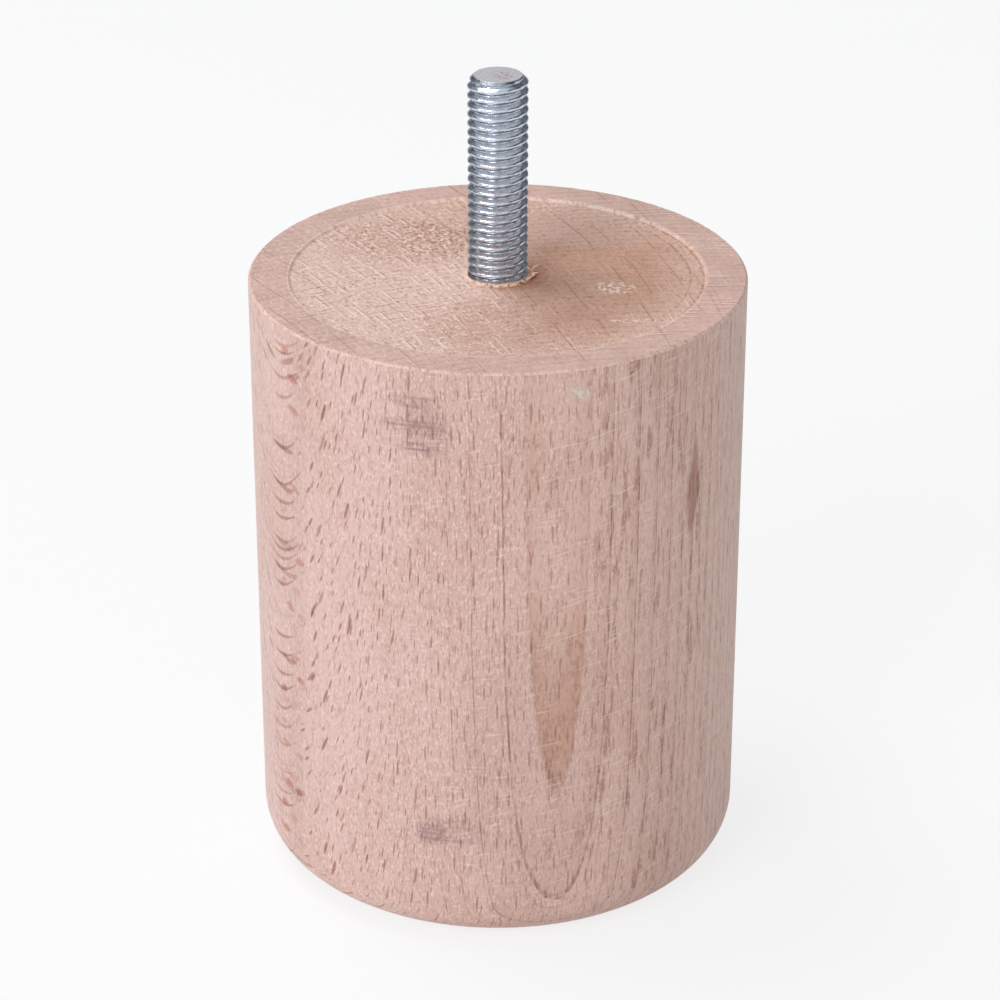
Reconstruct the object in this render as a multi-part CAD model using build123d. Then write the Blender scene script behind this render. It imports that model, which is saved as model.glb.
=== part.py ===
from build123d import *
import math
import os

# A round turned cabinet foot with a threaded stud, standing on the floor.
# The origin is the centre of the floor face and +Z points up along the turning axis. Millimetres.

# Turned beech body
FOOT_DIAMETER = 65.0
FOOT_HEIGHT = 83.0
FLOOR_EDGE_RADIUS = 6.5
TOP_EDGE_BEVEL = 0.3

# Shallow recess that leaves a flat rim to bear on the cabinet
SEAT_RIM_WIDTH = 5.2
RECESS_DEPTH = 0.35
RECESS_CROWN = 0.1

# Collar of fibres raised where the stud was driven in
COLLAR_WIDTH = 0.8
COLLAR_CREST = 0.2
COLLAR_HEIGHT = 0.25

# Double-ended stud: the machine thread at its outside, the wood screw at its core
STUD_DIAMETER = 7.8
STUD_PROJECTION = 27.0
STUD_END_BEVEL = 0.7
THREAD_RUNOUT_LENGTH = 2.5
SHANK_DIAMETER = 7.1
SHANK_LENGTH = 4.0
SCREW_CORE_DIAMETER = 5.6
SCREW_LENGTH = 28.0
SCREW_POINT_LENGTH = 6.0

# Stepped bore drilled for the stud
BORE_CLEARANCE = 0.05
PILOT_SPARE_DEPTH = 3.0
DRILL_POINT_ANGLE = 118.0

# Radii
foot_radius = FOOT_DIAMETER / 2
recess_radius = foot_radius - SEAT_RIM_WIDTH
stud_radius = STUD_DIAMETER / 2
shank_radius = SHANK_DIAMETER / 2
screw_radius = SCREW_CORE_DIAMETER / 2
mouth_radius = stud_radius + BORE_CLEARANCE
shank_bore_radius = shank_radius + BORE_CLEARANCE
pilot_radius = screw_radius + BORE_CLEARANCE

# Heights above the floor
recess_floor = FOOT_HEIGHT - RECESS_DEPTH
recess_centre = recess_floor + RECESS_CROWN
collar_top = recess_centre + COLLAR_HEIGHT
stud_top = FOOT_HEIGHT + STUD_PROJECTION
runout_end = collar_top - THREAD_RUNOUT_LENGTH
shank_shoulder = runout_end - SHANK_LENGTH
screw_tip = shank_shoulder - SCREW_LENGTH
screw_taper_start = screw_tip + SCREW_POINT_LENGTH
pilot_bottom = screw_tip - PILOT_SPARE_DEPTH
drill_tip = pilot_bottom - pilot_radius / math.tan(math.radians(DRILL_POINT_ANGLE / 2))


def turned(half_section):
    """Turn a closed half section, drawn in the XZ plane, into a round solid about Z."""
    return revolve(make_face(Plane.XZ * half_section), Axis.Z)


def turned_foot():
    """The beech foot: round the outside and the seat, then down the stepped bore to the axis."""
    floor_edge = RadiusArc(
        (foot_radius - FLOOR_EDGE_RADIUS, 0),
        (foot_radius, FLOOR_EDGE_RADIUS),
        -FLOOR_EDGE_RADIUS,
    )
    side_and_seat = Polyline(
        (foot_radius, FLOOR_EDGE_RADIUS),
        (foot_radius, FOOT_HEIGHT - TOP_EDGE_BEVEL),
        (foot_radius - TOP_EDGE_BEVEL, FOOT_HEIGHT),
        (recess_radius, FOOT_HEIGHT),
        (recess_radius, recess_floor),
        (mouth_radius + COLLAR_WIDTH, recess_centre),
        (mouth_radius + COLLAR_CREST, collar_top),
        (mouth_radius, collar_top),
    )
    bore_and_floor = Polyline(
        (mouth_radius, collar_top),
        (shank_bore_radius, runout_end),
        (shank_bore_radius, shank_shoulder),
        (pilot_radius, shank_shoulder),
        (pilot_radius, pilot_bottom),
        (0, drill_tip),
        (0, 0),
        (foot_radius - FLOOR_EDGE_RADIUS, 0),
    )
    return turned(Curve() + [floor_edge, side_and_seat, bore_and_floor])


def double_ended_stud():
    """The hanger bolt, from its point up: screw core, plain shank, thread run-out, machine-thread end."""
    outline = Polyline(
        (0, screw_tip),
        (screw_radius, screw_taper_start),
        (screw_radius, shank_shoulder),
        (shank_radius, shank_shoulder),
        (shank_radius, runout_end),
        (stud_radius, collar_top),
        (stud_radius, stud_top - STUD_END_BEVEL),
        (stud_radius - STUD_END_BEVEL, stud_top),
        (0, stud_top),
        close=True,
    )
    return turned(Curve() + outline)


nodes = {
    "foot_body": turned_foot(),
    "hanger_bolt": double_ended_stud(),
}

os.makedirs("parts", exist_ok=True)
for node_name, solid in nodes.items():
    export_step(solid, f"parts/{node_name}.step")
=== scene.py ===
import math

import bpy
import numpy as np
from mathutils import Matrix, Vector


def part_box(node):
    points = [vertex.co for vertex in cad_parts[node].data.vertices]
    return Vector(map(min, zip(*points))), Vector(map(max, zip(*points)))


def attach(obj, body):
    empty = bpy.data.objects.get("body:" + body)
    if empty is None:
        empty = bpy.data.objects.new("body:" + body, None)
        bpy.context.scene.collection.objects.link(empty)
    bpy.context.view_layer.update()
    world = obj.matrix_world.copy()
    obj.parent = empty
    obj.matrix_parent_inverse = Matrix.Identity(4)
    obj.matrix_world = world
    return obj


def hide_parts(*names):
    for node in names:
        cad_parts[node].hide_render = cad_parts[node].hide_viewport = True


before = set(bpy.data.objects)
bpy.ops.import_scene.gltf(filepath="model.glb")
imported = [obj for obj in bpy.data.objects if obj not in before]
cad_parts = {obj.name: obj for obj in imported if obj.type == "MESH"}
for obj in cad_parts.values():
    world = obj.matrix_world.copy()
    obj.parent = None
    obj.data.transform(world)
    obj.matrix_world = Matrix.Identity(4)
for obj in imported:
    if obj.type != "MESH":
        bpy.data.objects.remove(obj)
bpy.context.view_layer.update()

# A turned beech cabinet foot with a zinc-plated stud. Sizes are in millimetres unless a name says otherwise.
# Azimuths run from the front of the foot, positive to its right. Bearings run anticlockwise from its right.
MM = 0.001
_, foot_high = (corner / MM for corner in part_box("foot_body"))
bolt_low, bolt_high = (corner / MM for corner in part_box("hanger_bolt"))

# Turned body
FOOT_RADIUS = foot_high.y
FOOT_HEIGHT = foot_high.z
FOOT_SIDES = 400
FLOOR_EDGE_RADIUS = 6.5
TOP_EDGE_BEVEL = 0.3
SEAT_RIM_WIDTH = 5.2
RECESS_DEPTH = 0.35
RECESS_CROWN = 0.1
RECESS_WALL_SLANT = 0.3
RECESS_RADIUS = FOOT_RADIUS - SEAT_RIM_WIDTH
RECESS_FLOOR = FOOT_HEIGHT - RECESS_DEPTH
RECESS_CENTRE = RECESS_FLOOR + RECESS_CROWN

# Collar of torn fibres and the stepped bore under it
BORE_CLEARANCE = 0.05
COLLAR_WIDTH = 0.8
COLLAR_CREST = 0.2
COLLAR_HEIGHT = 0.25
COLLAR_TOP = RECESS_CENTRE + COLLAR_HEIGHT
THREAD_RUNOUT_LENGTH = 2.5
RUNOUT_END = COLLAR_TOP - THREAD_RUNOUT_LENGTH
SHANK_LENGTH = 4.0
SHANK_SHOULDER = RUNOUT_END - SHANK_LENGTH
DRILL_SPARE_DEPTH = 3.0
DRILL_POINT_ANGLE = math.radians(118)

# Double-ended stud
STUD_RADIUS = bolt_high.y
STUD_TOP = bolt_high.z
STUD_SIDES = 72
STUD_END_BEVEL = 0.8
THREAD_START = math.radians(60)
THREAD_PITCH = 1.25
THREAD_DEPTH = 0.62
THREAD_CREST = 0.18
THREAD_FLANK = 0.7
ROWS_PER_PITCH = 14
RUNOUT_SLOPE = 0.35
SHANK_RADIUS = 3.55
SCREW_CORE_RADIUS = 2.8
SCREW_POINT_LENGTH = 6.0
SCREW_TIP = bolt_low.z

# How the wood grew: the rings round a pith in front of the foot, with a sweep at the butt of the stem,
# and the rays a little turned against them
PITH_AZIMUTH = math.radians(13.5)
PITH_DISTANCE = 126.0
RING_WIDTH = 1.45
SWEEP_START = 6.7
SWEEP_DEPTH = 0.92
SWEEP_HEIGHT = 13.0
STEM_TAPER = 0.0028
TONGUE_DEPTH = 0.72
RAY_AZIMUTH = math.radians(16)
RAY_CENTRE = 170.0
RAY_BEND = 0.0018
RAY_LEAN = 0.13

# Marks on the side, at places along the girth and up: smudges have a centre, a half size and a strength
CUP_AZIMUTH = math.radians(59.6)
CUP_LEAN = 0.06
CUP_FOOT_HEIGHT = 20
SCRATCH_CLIMB = math.radians(10)
STREAK_AZIMUTH = math.radians(50)
SMUDGES = (
    ((-10.4, 78.5), (4.4, 1.4), 1.0),
    ((-10.9, 75.2), (5.2, 1.7), 1.0),
    ((-9.6, 72.2), (4.0, 1.2), 1.0),
    ((-8.8, 75.0), (3.4, 4.4), 0.7),
    ((-8.5, 16.8), (2.6, 2.0), 1.3),
    ((-6.6, 17.4), (6.2, 3.0), 0.7),
)
PAINT_FLECK = ((10.5, 79.8), (1.9, 1.0))
# A soft painted shade low on the front of the side: centre and half size
PAINTED_SHADE_FRONT = ((4.0, 26.0), (11.0, 30.0))

# Places on the seat, seen from above: centre and half size
TORN_PATCH = ((-12.5, 12.0), (13.0, 11.0))
PITTED_PATCH = ((-8.0, 12.5), (6.5, 8.5))
CHIPPED_PATCH = ((15.1, -4.6), (3.8, 2.9))
CHIPPED_LINE = ((17.8, -15.4), (5.2, 0.8))
PLAIN_PATCH = ((11.0, 17.0), (14.0, 9.0))
DULL_PATCH = ((2.0, -17.0), (15.0, 11.0))
COMBED_PATCH = ((-17.0, -9.0), (12.0, 11.0))
SPECK_AZIMUTH = math.radians(22)

# The camera that took the photograph
CAMERA_ELEVATION = math.radians(26.18)
CAMERA_DISTANCE = 456.8
CAMERA_AIM_HEIGHT = 49.95
CAMERA_LENS = 122.3
CAMERA_SENSOR = 36.0
CAMERA_SHIFT = 0.0021


def rgb(red, green, blue):
    return (red, green, blue, 1.0)


# Side: tones of the wood and of pale marks on it, tints that darken it, and the tint of a painted shade on
# its lower front
SIDE_LEFT_TONES = rgb(0.68, 0.455, 0.4), rgb(0.735, 0.51, 0.465)
SIDE_RIGHT_TONES = rgb(0.675, 0.44, 0.37), rgb(0.73, 0.495, 0.43)
SIDE_FAR_RIGHT_TONE = rgb(0.8, 0.57, 0.49)
SIDE_SPECK_TONE = rgb(0.9, 0.7, 0.64)
SCRATCH_TONE = rgb(0.9, 0.74, 0.67)
FUZZ_TONE = rgb(0.88, 0.71, 0.64)
PAINT_TONE = rgb(0.68, 0.69, 0.6)
VESSEL_TINT = rgb(0.76, 0.65, 0.6)
LAYER_TINT = rgb(0.64, 0.52, 0.47)
RING_LINE_TINT = rgb(0.56, 0.43, 0.38)
RING_BAND_TINT = rgb(0.78, 0.68, 0.62)
TONGUE_TINT = rgb(0.81, 0.68, 0.58)
PAINTED_SHADE_FRONT_TINT = rgb(0.9, 0.89, 0.88)
DASH_TINT = rgb(0.55, 0.4, 0.355)
FINE_DASH_TINT = rgb(0.6, 0.46, 0.425)
BESIDE_CUPS_TINT = rgb(0.94, 0.93, 0.93)
CUP_TINT = rgb(0.64, 0.48, 0.42)
RESIN_TINT = rgb(0.76, 0.5, 0.41)
STREAK_TINT = rgb(0.57, 0.42, 0.37)
GRIME_TINT = rgb(0.55, 0.51, 0.55)

# End grain: tones of the wood and of pale marks on it, tints that darken it, and tones and tints of painted
# light and shade
FACED_TONES = rgb(0.56, 0.325, 0.235), rgb(0.78, 0.545, 0.465)
FACED_PLAIN_TONE = rgb(0.64, 0.425, 0.355)
SAWN_TONES = rgb(0.64, 0.425, 0.36), rgb(0.71, 0.48, 0.415)
END_SPECK_TONE = rgb(0.92, 0.73, 0.65)
FIBRE_TONE = rgb(0.93, 0.74, 0.65)
WEFT_TONE = rgb(0.88, 0.69, 0.6)
RAGGED_TONE = rgb(0.92, 0.75, 0.66)
WASHER_MARK_TONE = rgb(0.85, 0.63, 0.52)
BURR_AND_PAINTED_LIGHT_TONE = rgb(0.92, 0.75, 0.67)
OUTER_EDGE_FUZZ_AND_HIGHLIGHT_TONE = rgb(0.86, 0.67, 0.6)
LIP_TONE = rgb(0.94, 0.7, 0.56)
LIT_STANDING_FIBRE_TONE = rgb(0.97, 0.66, 0.48)
DULL_PATCH_TINT = rgb(0.88, 0.82, 0.8)
PORE_TINT = rgb(0.74, 0.62, 0.56)
DEEP_PORE_TINT = rgb(0.62, 0.47, 0.41)
END_RING_TINT = rgb(0.68, 0.56, 0.51)
END_RAY_TINT = rgb(0.64, 0.5, 0.45)
FIBRE_SHADOW_TINT = rgb(0.68, 0.55, 0.49)
WEFT_SHADOW_TINT = rgb(0.64, 0.51, 0.45)
PIT_TINT = rgb(0.6, 0.45, 0.38)
STUD_SHADE_TINT = rgb(0.93, 0.74, 0.62)
WALL_SHADE_AND_ARC_TINT = rgb(0.7, 0.57, 0.51)
LIP_SHADOW_TINT = rgb(0.72, 0.52, 0.42)

# Zinc plate and the sawn end of the stud
ZINC_TONES = rgb(0.57, 0.61, 0.68), rgb(0.73, 0.77, 0.83)
ZINC_EDGE_TONE = rgb(0.45, 0.46, 0.5)
STUD_END_TONES = rgb(0.68, 0.65, 0.67), rgb(0.82, 0.78, 0.8)
THREAD_ROOT_TINT = rgb(0.35, 0.37, 0.4)
RUST_TINT = rgb(0.62, 0.47, 0.38)

# Room and floor
WHITE = rgb(1.0, 1.0, 1.0)
FLOOR_TONE = rgb(0.9, 0.9, 0.9)
CEILING_TONES = rgb(0.09, 0.1, 0.12), rgb(0.88, 0.96, 1.0)
BACK_CORNER_TONE = rgb(0.14, 0.15, 0.17)


class Value:
    """A number, colour or direction that changes over a surface. Arithmetic on numbers adds Math nodes."""

    def __init__(self, nodes, socket):
        self.nodes = nodes
        self.socket = socket

    def maths(self, operation, *values):
        return self.nodes.node("ShaderNodeMath", {"operation": operation}, dict(enumerate(values)))["Value"]

    def __add__(self, other):
        return self.maths("ADD", self, other)

    __radd__ = __add__

    def __sub__(self, other):
        return self.maths("SUBTRACT", self, other)

    def __rsub__(self, other):
        return self.maths("SUBTRACT", other, self)

    def __mul__(self, other):
        return self.maths("MULTIPLY", self, other)

    __rmul__ = __mul__

    def __truediv__(self, other):
        return self.maths("DIVIDE", self, other)

    def __rtruediv__(self, other):
        return self.maths("DIVIDE", other, self)

    def __pow__(self, other):
        return self.maths("POWER", self, other)

    def __rpow__(self, other):
        return self.maths("POWER", other, self)

    def __neg__(self):
        return self.maths("MULTIPLY", self, -1.0)

    def __abs__(self):
        return self.maths("ABSOLUTE", self)

    def squared(self):
        return self.maths("MULTIPLY", self, self)

    def root(self):
        return self.maths("SQRT", self)

    def fraction(self):
        return self.maths("FRACT", self)

    def cosine(self):
        return self.maths("COSINE", self)

    def angle_from(self, other):
        return self.maths("ARCTAN2", self, other)

    def at_most(self, other):
        return self.maths("MINIMUM", self, other)

    def at_least(self, other):
        return self.maths("MAXIMUM", self, other)

    def fade(self, start, end):
        """0 at start, 1 at end, smooth between; start may be the larger."""
        settings = {"interpolation_type": "SMOOTHSTEP"}
        inputs = {"Value": self, "From Min": start, "From Max": end}
        return self.nodes.node("ShaderNodeMapRange", settings, inputs)["Result"]


class Nodes:
    """A node tree that is filled by Python expressions."""

    def __init__(self, tree):
        self.tree = tree
        tree.nodes.clear()

    def node(self, kind, settings=None, inputs=None):
        """Add a node: its settings first, then its sockets by name, identifier or number."""
        made = self.tree.nodes.new(kind)
        for name, setting in (settings or {}).items():
            setattr(made, name, setting)
        sockets = {socket.name: socket for socket in reversed(made.inputs)}
        sockets.update({socket.identifier: socket for socket in made.inputs})
        sockets.update(enumerate(made.inputs))
        for name, value in (inputs or {}).items():
            if isinstance(value, Value):
                self.tree.links.new(value.socket, sockets[name])
            else:
                sockets[name].default_value = value
        outputs = {socket.name: Value(self, socket) for socket in reversed(made.outputs)}
        outputs.update({socket.identifier: Value(self, socket) for socket in made.outputs})
        return outputs

    def point(self, x, y, z):
        return self.node("ShaderNodeCombineXYZ", {}, {"X": x, "Y": y, "Z": z})["Vector"]

    def blend(self, share, first, second):
        """Mix two colours."""
        inputs = {"Factor_Float": share, "A_Color": first, "B_Color": second}
        return self.node("ShaderNodeMix", {"data_type": "RGBA"}, inputs)["Result_Color"]


class Finish(Nodes):
    """The node material of one finish, with its place on the foot in millimetres."""

    def __init__(self, name):
        self.material = bpy.data.materials.new(name)
        self.material.use_nodes = True
        super().__init__(self.material.node_tree)
        place = self.node("ShaderNodeTexCoord")["Object"]
        metres = self.node("ShaderNodeSeparateXYZ", {}, {"Vector": place})
        self.x, self.y, self.z = (metres[axis] / MM for axis in "XYZ")

    def noise(self, x, y, z, detail=2.0, roughness=0.5):
        """Smooth noise about 0.5, one lump to each unit of the given coordinates."""
        inputs = {"Vector": self.point(x, y, z), "Scale": 1.0, "Detail": detail, "Roughness": roughness}
        return self.node("ShaderNodeTexNoise", {"noise_dimensions": "3D"}, inputs)["Fac"]

    def cells(self, coordinates, apart, seed):
        """Strew points, one to each cell: the way from the nearest in millimetres, and its two chances."""
        lattice = [coordinate / step + seed for coordinate, step in zip(coordinates, apart)]
        inputs = {"Vector": self.point(*lattice, 0.0), "Scale": 1.0}
        cell = self.node("ShaderNodeTexVoronoi", {"voronoi_dimensions": "2D"}, inputs)
        centre = self.node("ShaderNodeSeparateXYZ", {}, {"Vector": cell["Position"]})
        chance = self.node("ShaderNodeSeparateColor", {}, {"Color": cell["Color"]})
        way = [(place - centre[axis]) * step for place, axis, step in zip(lattice, "XY", apart)]
        return way, [chance[name] for name in ("Red", "Green")]

    def strokes(self, along, across, apart, half_size, seed, share, sway):
        """Thin pointed strokes: share is how many show, sway how far each may slope its own way."""
        (forward, aside), chance = self.cells((along, across), apart, seed)
        aside = aside + forward * (chance[0] - 0.5) * sway
        reach = abs(aside) / half_size[1] + (forward / half_size[0]).squared()
        return reach.fade(1.0, 0.35) * chance[1].fade(1 - share, 1.0)

    def raised_fibres(self, along, across, apart, half_size, seed, painted_shadow_offset):
        """Pale fibres that stand up from the surface, and a painted shadow beside each."""
        (forward, aside), chance = self.cells((along, across), apart, seed)
        taper = (forward / half_size[0]).squared()
        share = chance[1].fade(0.05, 1.0)
        fibre = (abs(aside) / half_size[1] + taper).fade(1.0, 0.35) * share
        painted_shadow = (abs(aside - painted_shadow_offset) / (half_size[1] * 0.9) + taper).fade(1.0, 0.35) * share
        return fibre, painted_shadow

    def spot(self, along, across, centre, half_size):
        """A soft oval patch, 1 in its middle."""
        reach = ((along - centre[0]) / half_size[0]).squared()
        reach = reach + ((across - centre[1]) / half_size[1]).squared()
        return reach.fade(1.0, 0.15)

    def stain(self, share, colour, tint):
        """Darken a colour through a tint, by a share."""
        inputs = {"Factor_Float": share, "A_Color": colour, "B_Color": tint}
        settings = {"data_type": "RGBA", "blend_type": "MULTIPLY"}
        return self.node("ShaderNodeMix", settings, inputs)["Result_Color"]

    def bumped(self, height, depth):
        """Surface direction with a relief of the given depth in millimetres."""
        inputs = {"Height": height, "Distance": depth * MM, "Strength": 1.0}
        return self.node("ShaderNodeBump", {}, inputs)["Normal"]

    def surface(self, **inputs):
        """Close the finish with a Principled shader."""
        named = {name.replace("_", " "): value for name, value in inputs.items()}
        shader = self.node("ShaderNodeBsdfPrincipled", {}, named)["BSDF"]
        self.node("ShaderNodeOutputMaterial", {}, {"Surface": shader})
        return self.material


def seen_from(finish, azimuth):
    """How far a point lies towards an azimuth, and how far to the right of it."""
    toward = finish.x * math.sin(azimuth) - finish.y * math.cos(azimuth)
    aside = finish.x * math.cos(azimuth) + finish.y * math.sin(azimuth)
    return toward, aside


class Grain:
    """Where a point of the foot lay in the tree: out from the pith, round it, and up along the fibres."""

    def __init__(self, finish):
        x, y, z = finish.x, finish.y, finish.z
        self.finish = finish
        self.up = z

        toward, aside = seen_from(finish, PITH_AZIMUTH)
        butt = math.e ** ((SWEEP_START - z) / SWEEP_HEIGHT)
        sweep = SWEEP_DEPTH * (1 - butt) + STEM_TAPER * (z - SWEEP_START)
        wander = (finish.noise(x / 12, y / 12, z / 40) - 0.5) * (0.04 + abs(aside) * 0.02)
        fray = (finish.noise(x * 1.6, y * 1.6, z / 4, detail=1.0) - 0.5) * 0.07
        away = PITH_DISTANCE - toward
        self.out = (away.squared() + aside.squared()).root() - sweep + wander + fray
        self.aside = aside

        toward, aside = seen_from(finish, RAY_AZIMUTH)
        away = RAY_CENTRE - toward
        depth = FOOT_RADIUS - toward
        sway = finish.noise(x / 9 + 7, y / 9, z / 26, detail=1.0) - 0.5
        self.round = aside.angle_from(away) * RAY_CENTRE + depth.squared() * RAY_BEND + sway * 0.6
        self.inward = (away.squared() + aside.squared()).root()
        self.lean = aside.fade(-13, -28) * RAY_LEAN + sway * 0.2

    def rays(self, apart, half_size, seed, share, spread=1.0):
        """Ray sheets: lens-shaped, standing along the fibres and running out from the pith."""
        way, chance = self.finish.cells((self.round, self.up), apart, seed)
        size = chance[0] * 0.7 + 0.5
        aside = abs(way[0] - way[1] * self.lean)
        reach = aside / (spread * size * half_size[0]) + (way[1] / (size * half_size[1])).squared()
        return reach.fade(1.0, 0.4) * chance[1].fade(1 - share, 1 - share * 0.3)

    def rings(self):
        """Dark late wood: a thin line at each year's end, a band that fades inward, and the brown tongue."""
        years = (self.out - (PITH_DISTANCE - FOOT_RADIUS)) / RING_WIDTH
        tongue_end = -TONGUE_DEPTH / RING_WIDTH
        inside_tongue = years.fade(tongue_end + 0.03, tongue_end - 0.03)
        depth = (1 - years.fraction()) * RING_WIDTH
        false_ring = abs(depth - RING_WIDTH + 0.16).fade(0.05, 0.01) * 0.4
        line = (depth.fade(0.1, 0.03) + false_ring) * (1 - inside_tongue)
        band = depth.fade(0.7, 0.0) * (1 - inside_tongue)
        tongue_depth = (tongue_end - years) * RING_WIDTH
        tongue = tongue_depth.fade(0.42, 0.06) * inside_tongue
        tongue_line = tongue_depth.fade(0.05, 0.01) * inside_tongue
        return line.at_least(tongue_line * 0.5), band, tongue


class TurnedSide(Finish):
    """The sanded side of the foot: long grain with ray marks, a brown tongue, scratches and smudges."""

    def __init__(self):
        super().__init__("raw_beech_side")
        self.grain = Grain(self)
        self.azimuth = self.x.angle_from(-self.y)
        self.girth = self.azimuth * FOOT_RADIUS
        self.behind = abs(self.azimuth).fade(1.75, 2.7)
        self.facing = 1 - self.behind
        self.to_right = self.grain.aside.fade(-8, 14)
        self.ring_line, self.ring_band, self.tongue = self.grain.rings()
        self.vessels = self.noise(self.x * 2.5, self.y * 2.5, self.z * 0.95, roughness=0.55)
        self.specks = self.noise(self.x * 4.2, self.y * 4.2, self.z * 1.7, detail=1.0)
        breaks = self.noise(self.grain.round * 1.3, self.grain.up * 0.28, self.grain.out * 0.6, detail=1.0)
        self.broken = breaks.fade(0.42, 0.58)

    def wood(self):
        """Plain wood: pinker at the left, browner and then paler to the right, and between them behind."""
        cloud = self.noise(self.x / 13, self.y / 13, self.z / 30).fade(0.35, 0.65)
        left = self.blend(cloud, *SIDE_LEFT_TONES)
        right = self.blend(cloud, *SIDE_RIGHT_TONES)
        browner = self.azimuth.fade(-0.5, 0.3) * self.facing + self.behind * 0.5
        far_right = self.azimuth.fade(0.65, 1.1) * self.facing
        return self.blend(far_right * 0.85, self.blend(browner, left, right), SIDE_FAR_RIGHT_TONE)

    def long_grain(self, colour):
        """Fine vessels along the fibres, broken lines that follow the rings, and pale specks between."""
        vessels = self.vessels.fade(0.5, 0.64) * (0.52 - self.to_right * 0.12)
        colour = self.stain(vessels, colour, VESSEL_TINT)
        layers = self.noise(self.grain.out * 2.0, self.grain.round * 0.25, self.grain.up * 0.08, detail=1.0)
        lines = layers.fade(0.53, 0.64) * self.broken * (0.1 + self.to_right * 0.9)
        lines = lines * (1 - self.azimuth.fade(0.85, 1.1) * self.facing * 0.5)
        colour = self.stain(lines * 0.85, colour, LAYER_TINT)
        specks = self.specks.fade(0.53, 0.68) * (0.58 - self.to_right * 0.2) * (1 - self.tongue * 0.6)
        return self.blend(specks, colour, SIDE_SPECK_TONE)

    def growth_rings(self, colour):
        """Ring lines and bands, clearest where the side is flat-sawn, the brown tongue, and a soft painted
        shade on the lower front.
        """
        flat_sawn = self.grain.aside.fade(-17, -9)
        lines = self.ring_line * (0.3 + self.broken * 0.7) * (0.12 + flat_sawn * 0.88)
        lines = lines * (0.4 + self.facing * 0.6)
        colour = self.stain(lines * 0.85, colour, RING_LINE_TINT)
        colour = self.stain(self.ring_band * (0.1 + self.to_right * 0.25), colour, RING_BAND_TINT)
        tongue = self.tongue * (0.3 + 0.7 * self.z.fade(60, 34))
        tongue = tongue * (0.7 + self.vessels.fade(0.4, 0.6) * 0.1)
        colour = self.stain(tongue, colour, TONGUE_TINT)
        # A soft painted shade on the lower front of the side
        return self.stain(self.spot(self.girth, self.z, *PAINTED_SHADE_FRONT), colour, PAINTED_SHADE_FRONT_TINT)

    def cups(self, cup_side):
        """Rays that the side cuts along their length: arcs stacked like cups."""
        bend = 0.08 + 0.05 * self.noise(0.0, 0.5, self.z / 8, detail=1.0).fade(0.35, 0.65)
        rise = self.z - (cup_side + 2.8).squared() * bend
        (_, aside), chance = self.cells((0.0, rise), apart=(3.0, 2.6), seed=9.4)
        reach = abs(aside) / 0.38 + ((cup_side + 1.6) / (3.0 + chance[0] * 2.4)).squared()
        return reach.fade(1.0, 0.35) * chance[1].fade(-0.2, 0.8)

    def ray_marks(self, colour):
        """Rays: brown dashes, and cups with flecks of resin where the side runs along them."""
        cup_side = self.girth + CUP_AZIMUTH * FOOT_RADIUS - (self.z - CUP_FOOT_HEIGHT) * CUP_LEAN
        along_rays = cup_side.fade(4.5, 1.0) * self.facing
        at_left = self.azimuth.fade(-0.15, -0.6) * self.facing
        spread = (self.azimuth - math.radians(30)).cosine().at_least(0.48)
        dashes = self.grain.rays((1.6, 3.2), (0.26, 1.6), seed=3.7, share=0.92, spread=spread)
        dashes = dashes * (1 - along_rays * 0.6) * (1 - self.to_right * 0.4)
        colour = self.stain(dashes * (0.68 + at_left * 0.32), colour, DASH_TINT)
        fine_dashes = self.grain.rays((0.78, 1.9), (0.17, 0.95), seed=11.3, share=0.95, spread=spread)
        fine_dashes = fine_dashes * (1 - along_rays * 0.2) * (1 - self.to_right * 0.5)
        colour = self.stain(fine_dashes * (0.54 + at_left * 0.46), colour, FINE_DASH_TINT)
        beside_cups = abs(cup_side - 2.0).fade(3.0, 0.5)
        colour = self.stain(beside_cups, colour, BESIDE_CUPS_TINT)
        colour = self.stain(self.cups(cup_side) * 0.9, colour, CUP_TINT)
        resin = self.strokes(cup_side, self.z, (3.2, 3.6), (1.4, 0.8), seed=4.6, share=1.0, sway=0.8)
        resin = resin * abs(cup_side - 0.8).fade(3.8, 2.2)
        return self.stain(resin * 0.95, colour, RESIN_TINT)

    def sanding_marks(self, colour):
        """Pale scratches that climb to the right, and fuzz that the sanding raised."""
        along = self.girth * math.cos(SCRATCH_CLIMB) + self.z * math.sin(SCRATCH_CLIMB)
        across = self.z * math.cos(SCRATCH_CLIMB) - self.girth * math.sin(SCRATCH_CLIMB)
        scratch = self.strokes(along, across, (8.0, 2.2), (3.4, 0.14), seed=5.1, share=0.6, sway=0.35)
        scratch = scratch * self.azimuth.fade(-0.2, 0.4) * self.facing
        colour = self.blend(scratch * 0.36, colour, SCRATCH_TONE)
        sanded = self.noise(self.girth / 4.5, self.z / 3.0, 3.0, detail=1.0).fade(0.45, 0.62)
        sanded = sanded * self.azimuth.fade(-0.75, -0.2) * self.facing
        fuzz = self.strokes(along, across, (3.6, 0.7), (2.0, 0.17), seed=2.3, share=0.9, sway=0.3) * sanded
        return self.blend(fuzz * 0.42, colour, FUZZ_TONE)

    def mineral_streak(self, colour):
        """A brown mineral streak, high at the right."""
        middle = STREAK_AZIMUTH * FOOT_RADIUS + (self.z - 62) * 0.055
        reach = abs(self.girth - middle) / 1.75 + ((self.z - 61.8) / 8.2).squared()
        return self.stain(reach.fade(1.0, 0.3) * (0.8 + self.broken * 0.2), colour, STREAK_TINT)

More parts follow.
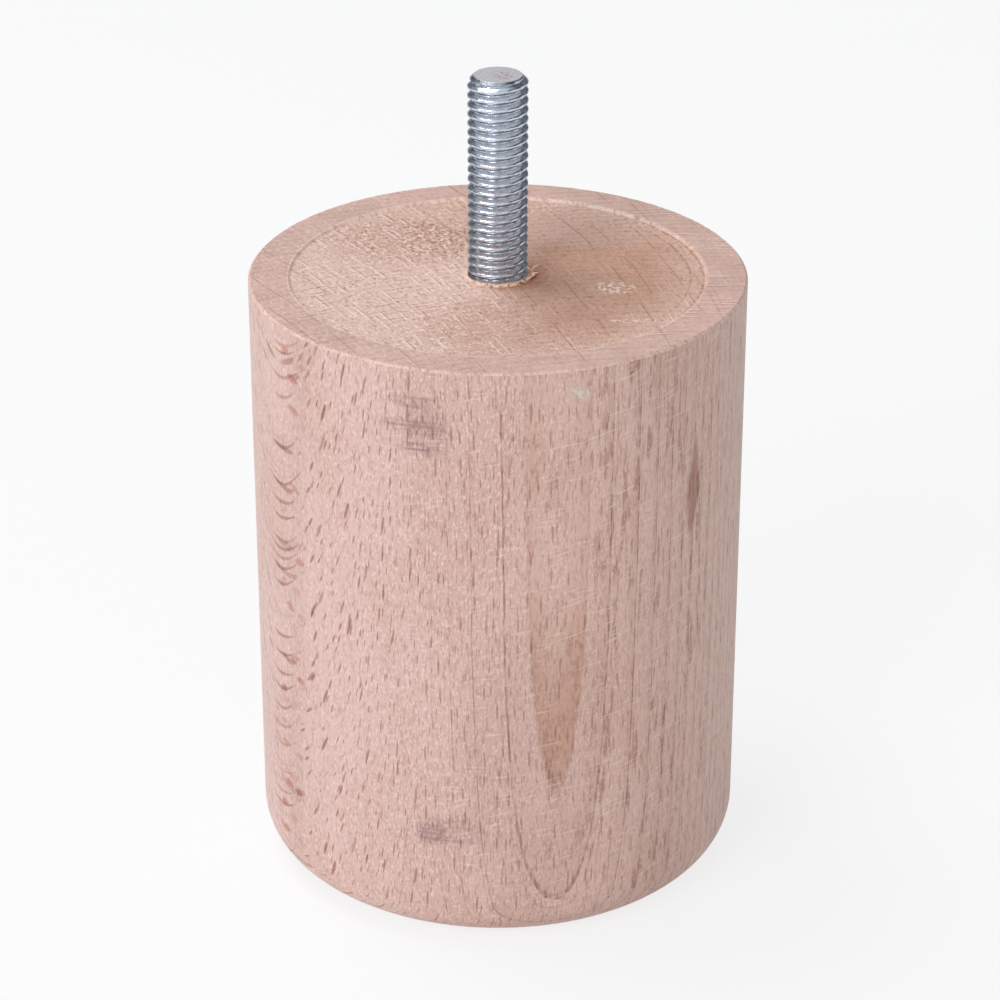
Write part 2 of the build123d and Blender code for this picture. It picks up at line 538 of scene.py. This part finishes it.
    def smudges(self, colour):
        """Grey smudges rubbed on across the grain, and a fleck of pale paint."""
        rubbed = 0.0
        for centre, half_size, strength in SMUDGES:
            rubbed = rubbed + strength * self.spot(self.girth, self.z, centre, half_size)
        hatch = self.strokes(self.girth, self.z, (4.0, 0.8), (3.4, 0.24), seed=7.7, share=1.0, sway=0.08)
        grime = rubbed * (0.3 + hatch * 0.5 + self.vessels.fade(0.45, 0.6) * 0.25)
        colour = self.stain(grime.at_most(1.0) * 0.85, colour, GRIME_TINT)
        chipped = self.noise(self.girth * 1.7, self.z * 1.7, 4.0).fade(0.46, 0.56)
        paint = self.spot(self.girth, self.z, *PAINT_FLECK) * chipped
        return self.blend(paint * 0.85, colour, PAINT_TONE)

    def finished(self):
        colour = self.ray_marks(self.growth_rings(self.long_grain(self.wood())))
        colour = self.smudges(self.mineral_streak(self.sanding_marks(colour)))
        return self.surface(
            Base_Color=colour,
            Roughness=0.5 + self.vessels * 0.2,
            Normal=self.bumped(self.specks * 0.5 - self.vessels * 0.7, 0.06),
            Specular_IOR_Level=0.35,
            Sheen_Weight=0.12,
            Sheen_Roughness=0.4,
        )


class SawnEnd(Finish):
    """The end grain of the foot: a sawn rim round a faced recess, torn in places."""

    def __init__(self):
        super().__init__("raw_beech_end")
        self.grain = Grain(self)
        self.reach = (self.x.squared() + self.y.squared()).root()
        self.bearing = self.y.angle_from(self.x)
        inside = self.reach.fade(RECESS_RADIUS + 0.05, RECESS_RADIUS - 0.05)
        self.recess = inside * self.z.fade(RECESS_FLOOR - 1, RECESS_FLOOR - 0.5)
        self.near_top = self.z.fade(FOOT_HEIGHT - 2, FOOT_HEIGHT - 1)
        self.plain = self.spot(self.x, self.y, *PLAIN_PATCH)
        # The recess is paler at its left and browner at its right, partly its own tone and partly painted
        # light and shade
        self.paleness_and_painted_light = self.tone_and_painted_shade()
        self.bright_side = 0.15 + self.paleness_and_painted_light.fade(0.2, 0.9) * 0.85
        down, sideways = seen_from(self, SPECK_AZIMUTH)
        self.pores = self.noise(sideways * 2.2, down * 1.6, self.z * 0.5, roughness=0.6)
        self.specks = self.noise(sideways * 2.8 + 9, down * 1.8, self.z * 0.5, detail=1.0)
        self.pits = self.noise(sideways * 1.9, down * 1.3, 5.0, roughness=0.6)
        self.tatters = self.noise(self.x * 1.3, self.y * 1.3, self.z * 1.3, detail=1.0)

    def tone_and_painted_shade(self):
        """The left of the recess paler and its right browner: partly the tone the cutter left, partly
        painted light and shade for the slope of the recess floor under light from the left.
        """
        lean = (self.bearing - math.radians(190)).cosine()
        shaded_brown_sector = (self.bearing + math.radians(12)).cosine().fade(0.1, 1.0)
        inner = self.reach.fade(RECESS_RADIUS + 1, RECESS_RADIUS - 10)
        swing = 0.55 + 0.45 * lean.at_least(0.0) + (0.45 * lean.at_most(0.0) - shaded_brown_sector * 0.2) * inner
        return swing + (self.noise(self.x / 5, self.y / 5, 2.0) - 0.5) * 0.6

    def wood(self):
        """The faced recess, paler at the left and browner at the right partly by painted light and shade,
        and the sawn rim.
        """
        faced = self.blend(self.paleness_and_painted_light.fade(-0.1, 1.0), *FACED_TONES)
        faced = self.blend(self.plain * 0.6, faced, FACED_PLAIN_TONE)
        dull = self.spot(self.x, self.y, *DULL_PATCH) + 1.25 * self.spot(self.x, self.y, *TORN_PATCH)
        faced = self.stain(dull * 0.8, faced, DULL_PATCH_TINT)
        shade = self.noise(self.x / 6, self.y / 6, self.z / 6).fade(0.35, 0.65)
        return self.blend(self.recess, self.blend(shade, *SAWN_TONES), faced)

    def cut_vessels(self, colour):
        """Specks of cut vessels, dark and pale, finest on the rim."""
        roughened = 0.5 + self.recess * 0.5
        pores = self.pores.fade(0.5, 0.64) * roughened * (0.3 + self.bright_side * 0.3)
        colour = self.stain(pores, colour, PORE_TINT)
        colour = self.stain(self.pores.fade(0.66, 0.72) * self.recess * 0.8, colour, DEEP_PORE_TINT)
        specks = self.specks.fade(0.54, 0.66) * roughened * self.bright_side * 0.75
        return self.blend(specks, colour, END_SPECK_TONE)

    def rings_and_rays(self, colour):
        """Rings and rays as dark lines that cross each other."""
        line, band, _ = self.grain.rings()
        rings = (line * 0.5 + band * 0.25) * self.pores.fade(0.35, 0.55)
        colour = self.stain(rings, colour, END_RING_TINT)
        breaks = self.noise(self.grain.round * 0.9, self.grain.inward * 0.16, 6.0, detail=1.0)
        rays = self.grain.rays((1.5, 3.3), (0.16, 2.6), seed=3.7, share=0.6) * breaks.fade(0.4, 0.56)
        return self.stain(rays * 0.6, colour, END_RAY_TINT)

    def cutter_fibres(self, colour):
        """Pale fibres that the cutter raised along the rays, and a weft of them along the rings, each with a
        painted shadow beside it.
        """
        frayed = (0.25 + self.recess * 0.75) * self.bright_side
        frayed = frayed * self.noise(self.x / 4, self.y / 3, 9.0, detail=1.0).fade(0.34, 0.6)
        frayed = frayed * (1 - self.plain * 0.8)
        along, across = self.grain.inward, self.grain.round
        fibres, fibre_shadows = self.raised_fibres(along, across, (6.5, 1.1), (4.6, 0.21), 8.9, painted_shadow_offset=0.34)
        colour = self.blend(fibres * frayed * 0.95, colour, FIBRE_TONE)
        # A painted shadow beside each raised fibre
        colour = self.stain(fibre_shadows * frayed * 0.7, colour, FIBRE_SHADOW_TINT)
        rim_right = (1 - self.recess) * self.bearing.cosine().fade(0.3, 0.8)
        combed = self.spot(self.x, self.y, *COMBED_PATCH) + rim_right + 0.2
        combed = combed * self.noise(self.x / 7, self.y / 4, 11.0, detail=1.0).fade(0.38, 0.56)
        along, across = self.grain.round, self.grain.out
        weft, fibre_shadows = self.raised_fibres(along, across, (5.0, 0.9), (3.2, 0.18), 1.9, painted_shadow_offset=-0.3)
        colour = self.blend((weft * combed).at_most(1.0) * 0.7, colour, WEFT_TONE)
        # A painted shadow beside each fibre of the weft
        return self.stain((fibre_shadows * combed).at_most(1.0) * 0.85, colour, WEFT_SHADOW_TINT)

    def torn_patches(self, colour):
        """Torn wood: dark pits with pale ragged edges, and pale chips."""
        torn = self.spot(self.x, self.y, *TORN_PATCH)
        pitted = self.spot(self.x, self.y, *PITTED_PATCH)
        dark_pits = self.pits.fade(0.52, 0.62) * (pitted + torn * 0.35)
        colour = self.stain(dark_pits.at_most(1.0) * 0.75, colour, PIT_TINT)
        chipped = self.spot(self.x, self.y, *CHIPPED_PATCH) + self.spot(self.x, self.y, *CHIPPED_LINE)
        ragged = self.noise(self.x * 1.4, self.y * 1.4, 8.0, roughness=0.7).fade(0.5, 0.58)
        pale = chipped * ragged + (torn + pitted) * self.pits.fade(0.45, 0.36) * 0.45
        return self.blend(pale.at_most(1.0) * 0.7, colour, RAGGED_TONE)

    def beside_stud(self, colour):
        """A reddish painted shade beside the stud, and the faint mark of a washer there."""
        to_right = (self.bearing + math.radians(20)).cosine()
        # Reddish painted shade at the right of the stud's base, for its occlusion and light bounced off the
        # wood
        reddish_stud_shade = self.reach.fade(STUD_RADIUS + 5.0, STUD_RADIUS + 1.0) * to_right.fade(-0.2, 0.9)
        colour = self.stain(reddish_stud_shade * self.recess * 0.6, colour, STUD_SHADE_TINT)
        washer = abs(self.reach - STUD_RADIUS - 3.1).fade(0.3, 0.1) * to_right.fade(0.5, 0.9)
        return self.blend(washer * 0.12, colour, WASHER_MARK_TONE)

    def rim_edges(self, colour):
        """A painted shade and a dark arc inside the rim at the right, a pale burred inner edge with painted
        light on the recess wall, and pale fuzz with a painted highlight on its outer edge.
        """
        at_right = (self.bearing - math.radians(8)).cosine().fade(0.75, 0.95)
        # Painted shade at the foot of the recess wall at the right, and a second dark arc further in
        wall_shade_and_arc = abs(self.reach - RECESS_RADIUS + 0.55).fade(0.28, 0.08)
        wall_shade_and_arc = wall_shade_and_arc + abs(self.reach - RECESS_RADIUS + 2.2).fade(0.2, 0.05)
        wall_shade_and_arc = wall_shade_and_arc * at_right * (0.35 + self.pores.fade(0.4, 0.55) * 0.4)
        colour = self.stain(wall_shade_and_arc, colour, WALL_SHADE_AND_ARC_TINT)
        # A pale burred inner edge on the rim, with painted light that lifts the shade of the recess wall,
        # most at the left
        burr_and_painted_light = abs(self.reach - RECESS_RADIUS + 0.05).fade(0.36, 0.16) * self.tatters.fade(0.3, 0.6)
        burr_and_painted_light = burr_and_painted_light * self.near_top * (0.6 - at_right * 0.45)
        colour = self.blend(burr_and_painted_light, colour, BURR_AND_PAINTED_LIGHT_TONE)
        # A pale fuzzy line on the outer top edge, partly a painted highlight
        edge = self.reach.fade(FOOT_RADIUS - 0.4, FOOT_RADIUS - 0.15) * self.near_top
        return self.blend(edge * self.pores.fade(0.58, 0.45) * 0.4, colour, OUTER_EDGE_FUZZ_AND_HIGHLIGHT_TONE)

    def torn_lip(self, colour):
        """A painted shadow beyond the lip at its front and right, the pale torn lip round the stud, and the
        fibres that stand up from it, coloured brighter with painted light.
        """
        front_right = (self.bearing + math.radians(50)).cosine()
        # A painted shadow on the wood just beyond the torn lip, at its front and right
        lip_shadow = self.reach.fade(STUD_RADIUS + 1.6, STUD_RADIUS + 0.8) * front_right.fade(-0.3, 0.7)
        colour = self.stain(lip_shadow * self.recess * 0.6, colour, LIP_SHADOW_TINT)
        lip = self.reach.fade(STUD_RADIUS + 0.85, STUD_RADIUS + 0.65) * self.near_top
        lip = lip * (0.25 + 0.75 * front_right.fade(-0.7, 0.3)) * self.tatters.fade(0.34, 0.48)
        colour = self.blend(lip * 0.9, colour, LIP_TONE)
        # The fibres that stand up from the lip are coloured brighter: their own pale colour and painted
        # light where the stud shades them
        standing = self.z.fade(FOOT_HEIGHT + 0.02, FOOT_HEIGHT + 0.1)
        return self.blend(standing * 0.95, colour, LIT_STANDING_FIBRE_TONE)

    def finished(self):
        colour = self.cutter_fibres(self.rings_and_rays(self.cut_vessels(self.wood())))
        colour = self.beside_stud(self.torn_patches(colour))
        colour = self.torn_lip(self.rim_edges(colour))
        normal = self.bumped(self.specks * 0.8 - self.pores, 0.06)
        return self.surface(Base_Color=colour, Roughness=0.72, Normal=normal, Specular_IOR_Level=0.25)


def zinc_finish():
    """Bright zinc plate on a rolled thread, darker in its roots, with a sawn end."""
    f = Finish("zinc_plate")
    reach = (f.x.squared() + f.y.squared()).root()
    mottle = f.noise(f.x * 1.8, f.y * 1.8, f.z * 1.8, detail=3.0, roughness=0.6)
    colour = f.blend(mottle.fade(0.3, 0.7), *ZINC_TONES)
    root = reach.fade(STUD_RADIUS - THREAD_DEPTH * 0.55, STUD_RADIUS - THREAD_DEPTH * 0.95)
    cut_end = f.z.fade(STUD_TOP - 0.05, STUD_TOP - 0.01)
    colour = f.stain(root * 0.35 * (1 - cut_end), colour, THREAD_ROOT_TINT)
    scratches = f.noise(f.x * 0.7 + f.y * 0.9, f.x * 6 - f.y * 4.5, 1.0).fade(0.5, 0.62)
    sawn = f.blend(scratches, *STUD_END_TONES)
    rust = f.spot(f.x, f.y, (0.7, -0.3), (1.7, 2.3)) * f.noise(f.x * 3, f.y * 2, 7.0).fade(0.5, 0.6)
    sawn = f.stain(rust * 0.8, sawn, RUST_TINT)
    return f.surface(
        Base_Color=f.blend(cut_end, colour, sawn),
        Metallic=1.0,
        Roughness=0.19 + mottle * 0.14 + cut_end * 0.18,
        Normal=f.bumped(f.noise(f.x * 3, f.y * 3, f.z * 3, detail=1.0), 0.007),
        Specular_Tint=ZINC_EDGE_TONE,
    )


def lumps(x, y, size, seed):
    """Smooth seeded noise from 0 to 1 over a plane, one lump to each size."""
    lattice = np.random.default_rng(seed).random((64, 64))
    column, row = np.floor(x / size).astype(int), np.floor(y / size).astype(int)
    across, up = x / size - column, y / size - row
    across, up = (share * share * (3 - 2 * share) for share in (across, up))

    def corner(right, above):
        return lattice[(column + right) % 64, (row + above) % 64]

    lower = corner(0, 0) * (1 - across) + corner(1, 0) * across
    upper = corner(0, 1) * (1 - across) + corner(1, 1) * across
    return lower * (1 - up) + upper * up


def patch(x, y, centre, half_size):
    """A soft oval patch of the seat, 1 in its middle."""
    reach = ((x - centre[0]) / half_size[0]) ** 2 + ((y - centre[1]) / half_size[1]) ** 2
    return np.clip((1 - reach) / 0.6, 0, 1)


def seat_relief(x, y):
    """How far the sawn and torn end grain stands above its true form."""
    lean = math.radians(29)
    along = y * math.cos(lean) - x * math.sin(lean)
    across = x * math.cos(lean) + y * math.sin(lean)
    coarse = lumps(across, along / 1.7, 0.9, 3)
    fine = lumps(across, along / 1.5, 0.5, 5)
    rough = coarse * 0.5 + fine * 0.5
    torn = patch(x, y, *TORN_PATCH) * 0.25 + patch(x, y, *PITTED_PATCH) * 0.5
    pits = np.clip(rough - 0.5, 0, 1) * torn
    chips = np.clip(fine - 0.4, 0, 1) * (patch(x, y, *CHIPPED_PATCH) + patch(x, y, *CHIPPED_LINE))
    return 0.03 * (rough - 0.5) - pits + 0.2 * chips


def stretch(start, end, steps):
    """Points of a straight stretch of a half section, without its first point."""
    share = np.linspace(0, 1, steps + 1)[1:, None]
    return np.array(start) + share * (np.array(end) - np.array(start))


def foot_section():
    """The foot's half section from the floor's centre to the pilot's end: stretches of (radius, height)."""
    edge_turn = np.linspace(-math.pi / 2, 0, 19)[1:]
    edge_centre = FOOT_RADIUS - FLOOR_EDGE_RADIUS
    edge_radius = edge_centre + FLOOR_EDGE_RADIUS * np.cos(edge_turn)
    edge_height = FLOOR_EDGE_RADIUS * (1 + np.sin(edge_turn))
    mouth = STUD_RADIUS + BORE_CLEARANCE
    shank_bore = SHANK_RADIUS + BORE_CLEARANCE
    pilot = SCREW_CORE_RADIUS + BORE_CLEARANCE
    section = {
        "floor": stretch((0, 0), (edge_centre, 0), 12),
        "floor_edge": np.stack([edge_radius, edge_height], 1),
    }
    corner = (FOOT_RADIUS, FLOOR_EDGE_RADIUS)
    for name, next_corner, steps in (
        ("side", (FOOT_RADIUS, FOOT_HEIGHT - TOP_EDGE_BEVEL), 24),
        ("bevel", (FOOT_RADIUS - TOP_EDGE_BEVEL, FOOT_HEIGHT), 3),
        ("rim", (RECESS_RADIUS, FOOT_HEIGHT), 18),
        ("wall", (RECESS_RADIUS - RECESS_WALL_SLANT, RECESS_FLOOR), 3),
        ("recess", (mouth + COLLAR_WIDTH, RECESS_CENTRE), 100),
        ("collar", (mouth + COLLAR_CREST, COLLAR_TOP), 6),
        ("crest", (mouth, COLLAR_TOP), 3),
        ("runout", (shank_bore, RUNOUT_END), 4),
        ("shank_bore", (shank_bore, SHANK_SHOULDER), 3),
        ("shoulder", (pilot, SHANK_SHOULDER), 1),
        ("pilot", (pilot, SCREW_TIP - DRILL_SPARE_DEPTH), 8),
    ):
        section[name] = stretch(corner, next_corner, steps)
        corner = next_corner
    return section


def skin(rings, first_tip, last_tip, ring_finish):
    """A closed form over rings of points, with a fan to a tip at each end: points, faces and finishes."""
    count, around, _ = rings.shape
    points = np.concatenate([rings.reshape(-1, 3), [first_tip], [last_tip]])
    here = np.arange(around)
    beside = (here + 1) % around
    first, last = count * around, count * around + 1
    faces = [(first, int(b), int(a)) for a, b in zip(here, beside)]
    marks = [ring_finish[0]] * around
    for row in range(count - 1):
        low, high = row * around, (row + 1) * around
        faces += np.stack([low + here, low + beside, high + beside, high + here], 1).tolist()
        marks += [ring_finish[row + 1]] * around
    top = (count - 1) * around
    faces += [(int(top + a), int(top + b), last) for a, b in zip(here, beside)]
    marks += [ring_finish[-1]] * around
    return points, faces, marks


def piece_of(name, skins, finishes):
    """One piece made of closed skins, riding on the foot."""
    points, faces, marks = [], [], []
    for skin_points, skin_faces, skin_marks in skins:
        faces += [[corner + len(points) for corner in face] for face in skin_faces]
        points += (skin_points * MM).tolist()
        marks += skin_marks
    mesh = bpy.data.meshes.new(name)
    mesh.from_pydata(points, [], faces)
    mesh.polygons.foreach_set("material_index", marks)
    for finish in finishes:
        mesh.materials.append(finish)
    mesh.shade_smooth()
    mesh.set_sharp_from_angle(angle=math.radians(35))
    piece = bpy.data.objects.new(name, mesh)
    bpy.context.scene.collection.objects.link(piece)
    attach(piece, "root")
    return piece


def torn_fibre(bearing, root_radius, length, width, curl):
    """A thin tapered fibre that stands off the lip and curls away from the stud."""
    rows, around = 9, 6
    outward = np.array([math.cos(bearing), math.sin(bearing), 0])
    sideways = np.array([-math.sin(bearing), math.cos(bearing), 0])
    upright = np.array([0, 0, 1])
    share = np.linspace(0, 1, rows)
    tilt = 0.12 + curl * share
    ways = np.outer(np.cos(tilt), upright) + np.outer(np.sin(tilt), outward)
    start = outward * root_radius + upright * (RECESS_CENTRE - 0.1)
    path = start + np.concatenate([[[0, 0, 0]], np.cumsum(ways[:-1], 0)]) * length / (rows - 1)
    thick = width * (1 - share * 0.85)[:, None, None]
    turn = np.linspace(0, 2 * math.pi, around, endpoint=False)[None, :, None]
    flat = np.cross(ways, sideways)[:, None, :]
    rings = path[:, None, :] + thick * (np.cos(turn) * sideways + 0.7 * np.sin(turn) * flat)
    return skin(rings, path[0], path[-1] + ways[-1] * width * 0.3, [1] * rows)


def torn_fibres():
    """The fibres of the lip: three long curls at its right, short ones round its front."""
    draw = np.random.default_rng(41)
    fibres = [
        torn_fibre(math.radians(4), STUD_RADIUS + 0.4, length=1.7, width=0.42, curl=1.3),
        torn_fibre(math.radians(-10), STUD_RADIUS + 0.55, length=1.2, width=0.45, curl=1.9),
        torn_fibre(math.radians(-24), STUD_RADIUS + 0.6, length=0.9, width=0.4, curl=1.2),
    ]
    for bearing in draw.uniform(-160, 10, 26):
        out, length, width = draw.uniform((0.25, 0.35, 0.16), (0.75, 0.85, 0.36))
        curl = draw.uniform(0.5, 2.0)
        fibres.append(torn_fibre(math.radians(bearing), STUD_RADIUS + out, length, width, curl))
    return fibres


def turned_foot():
    """The beech foot in its two finishes, with the torn fibres round the stud."""
    section = foot_section()
    names = np.array([name for name, points in section.items() for _ in points])
    radius, height = (column[:, None] for column in np.concatenate(list(section.values())).T)
    turn = np.linspace(0, 2 * math.pi, FOOT_SIDES, endpoint=False)
    is_rim, is_recess, is_bevel = (names[:, None] == name for name in ("rim", "recess", "bevel"))
    is_lip = np.isin(names, ["collar", "crest"])[:, None]

    # The lip is torn: high and wide at the front and the right, almost gone elsewhere
    ragged = lumps(turn * 2.4, turn * 0, 0.5, 21) * 0.6 + lumps(turn * 9, turn * 0, 0.5, 22) * 0.4
    facing = 0.5 + 0.5 * np.cos(turn - math.radians(-50))
    lip_share = np.clip(0.25 + facing * 0.7 + (ragged - 0.5) * 0.9, 0.1, 1.0)
    height = np.where(is_lip, RECESS_CENTRE + (height - RECESS_CENTRE) * lip_share, height)
    mouth = STUD_RADIUS + BORE_CLEARANCE
    radius = np.where(is_lip, mouth + (radius - mouth) * (0.2 + 0.65 * lip_share), radius)

    # The top edge is nicked
    nick = np.clip(lumps(turn * 60, turn * 0, 1.0, 31) - 0.55, 0, 1) * 0.25
    radius = radius - np.where(is_bevel, nick, 0)

    x = radius * np.cos(turn)
    y = radius * np.sin(turn)
    relief_share = np.where(is_rim, 0.35, 0.0) + is_recess * np.clip((RECESS_RADIUS - radius) / 0.8, 0, 1)
    z = np.minimum(height + relief_share * seat_relief(x, y), FOOT_HEIGHT)
    rings = np.stack([x, y, z], 2)
    pilot_radius, pilot_bottom = section["pilot"][-1]
    drill_tip = pilot_bottom - pilot_radius / math.tan(DRILL_POINT_ANGLE / 2)
    ring_finish = [0 if name in {"floor_edge", "side"} else 1 for name in names]
    finishes = [TurnedSide().finished(), SawnEnd().finished()]
    body = skin(rings, (0, 0, 0), (0, 0, drill_tip), ring_finish)
    foot = piece_of("beech_foot", [body, *torn_fibres()], finishes)
    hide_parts("foot_body")


def threaded_stud():
    """The zinc-plated stud with a right-hand rolled thread."""
    rows = int((STUD_TOP - RUNOUT_END) / THREAD_PITCH * ROWS_PER_PITCH)
    height = np.linspace(RUNOUT_END, STUD_TOP, rows)[:, None]
    turn = np.linspace(0, 2 * math.pi, STUD_SIDES, endpoint=False)[None, :]
    phase = (height / THREAD_PITCH - (turn - THREAD_START) / (2 * math.pi)) % 1.0
    groove = np.clip((np.abs(phase - 0.5) * 2 - THREAD_CREST) / THREAD_FLANK, 0, 1)
    groove = groove * groove * (3 - 2 * groove) * 0.2 + groove * 0.8
    bevel = STUD_RADIUS - STUD_END_BEVEL + (STUD_TOP - height)
    runout = SHANK_RADIUS + (height - RUNOUT_END) * RUNOUT_SLOPE
    radius = np.minimum(np.minimum(STUD_RADIUS - THREAD_DEPTH * groove, bevel), runout)
    threaded = np.stack([radius * np.cos(turn), radius * np.sin(turn), height + turn * 0], 2)

    lower_radius, lower_height = np.array(
        [
            (SCREW_CORE_RADIUS, SCREW_TIP + SCREW_POINT_LENGTH),
            (SCREW_CORE_RADIUS, SHANK_SHOULDER),
            (SHANK_RADIUS, SHANK_SHOULDER),
            (SHANK_RADIUS, RUNOUT_END - 0.05),
        ]
    ).T[:, :, None]
    hidden = np.stack(
        [lower_radius * np.cos(turn), lower_radius * np.sin(turn), lower_height + turn * 0], 2
    )
    rings = np.concatenate([hidden, threaded])
    body = skin(rings, (0, 0, SCREW_TIP), (0, 0, STUD_TOP), [0] * len(rings))
    stud = piece_of("zinc_stud", [body], [zinc_finish()])
    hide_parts("hanger_bolt")


def seen_directly(nodes):
    """1 where the camera, a mirror or a glass looks, 0 where light falls."""
    path = nodes.node("ShaderNodeLightPath")
    return path["Is Camera Ray"].at_least(path["Is Glossy Ray"]).at_least(path["Is Transmission Ray"])


def pale_floor():
    """A wide pale floor that looks white and keeps the foot's shadow."""
    half = 4.0
    corners = [(-half, -half, 0), (half, -half, 0), (half, half, 0), (-half, half, 0)]
    mesh = bpy.data.meshes.new("pale_floor")
    mesh.from_pydata(corners, [], [(0, 1, 2, 3)])
    floor = bpy.data.objects.new("pale_floor", mesh)
    bpy.context.scene.collection.objects.link(floor)
    f = Finish("pale_floor")
    matt = f.node("ShaderNodeBsdfDiffuse", {}, {"Color": FLOOR_TONE})["BSDF"]
    white = f.node("ShaderNodeEmission", {}, {"Color": WHITE, "Strength": 1.0})["Emission"]
    lit = f.node("ShaderNodeMixShader", {}, {0: seen_directly(f) * 0.8, 1: matt, 2: white})["Shader"]
    f.node("ShaderNodeOutputMaterial", {}, {"Surface": lit})
    mesh.materials.append(f.material)


def studio_room():
    """White walls with dim back corners, under a dim ceiling with two strips of light."""
    world = bpy.data.worlds.new("studio_room")
    bpy.context.scene.world = world
    world.use_nodes = True
    n = Nodes(world.node_tree)
    direction = n.node("ShaderNodeTexCoord")["Generated"]
    part = n.node("ShaderNodeSeparateXYZ", {}, {"Vector": direction})
    aside, behind, rise = part["X"], part["Y"], part["Z"]
    overhead = aside.fade(-0.52, -0.42) * aside.fade(0.38, 0.28)
    left_strip = aside.fade(-0.5, -0.4) * aside.fade(-0.1, -0.22)
    right_strip = aside.fade(0.04, 0.12) * aside.fade(0.36, 0.28)
    ceiling = n.blend(overhead * 0.5 + left_strip * 0.4 + right_strip * 0.3, *CEILING_TONES)
    colour = n.blend(rise.fade(0.44, 0.6), WHITE, ceiling)
    back_corners = behind.fade(0.3, 0.55) * abs(aside).fade(0.12, 0.3)
    dim = back_corners * rise.fade(0.03, 0.15) * rise.fade(0.6, 0.44)
    colour = n.blend(dim, colour, BACK_CORNER_TONE)
    strength = 0.7 + 0.3 * seen_directly(n)
    walls = n.node("ShaderNodeBackground", {}, {"Color": colour, "Strength": strength})["Background"]
    n.node("ShaderNodeOutputWorld", {}, {"Surface": walls})


def lamp(name, place, size, watts):
    """A square soft lamp that faces the foot; its place and size are in metres."""
    light = bpy.data.lights.new(name, "AREA")
    light.size = size
    light.energy = watts
    holder = bpy.data.objects.new(name, light)
    holder.location = place
    aim = Vector((0, 0, FOOT_HEIGHT / 2 * MM)) - Vector(place)
    holder.rotation_euler = aim.to_track_quat("-Z", "Y").to_euler()
    bpy.context.scene.collection.objects.link(holder)


def photograph_camera():
    """The camera in front of the foot, looking down on it."""
    data = bpy.data.cameras.new("photograph_camera")
    data.lens = CAMERA_LENS
    data.sensor_width = CAMERA_SENSOR
    data.shift_x = CAMERA_SHIFT
    camera = bpy.data.objects.new("photograph_camera", data)
    back = Vector((0, -math.cos(CAMERA_ELEVATION), math.sin(CAMERA_ELEVATION)))
    camera.location = (Vector((0, 0, CAMERA_AIM_HEIGHT)) + back * CAMERA_DISTANCE) * MM
    camera.rotation_euler = (-back).to_track_quat("-Z", "Y").to_euler()
    bpy.context.scene.collection.objects.link(camera)
    bpy.context.scene.camera = camera


turned_foot()
threaded_stud()
pale_floor()
studio_room()
lamp("key_softbox", place=(-0.7, -0.95, 0.75), size=0.7, watts=7.3)
lamp("overhead_softbox", place=(-0.35, 0.2, 1.0), size=0.5, watts=4.4)
photograph_camera()
bpy.context.scene.view_settings.view_transform = "Standard"
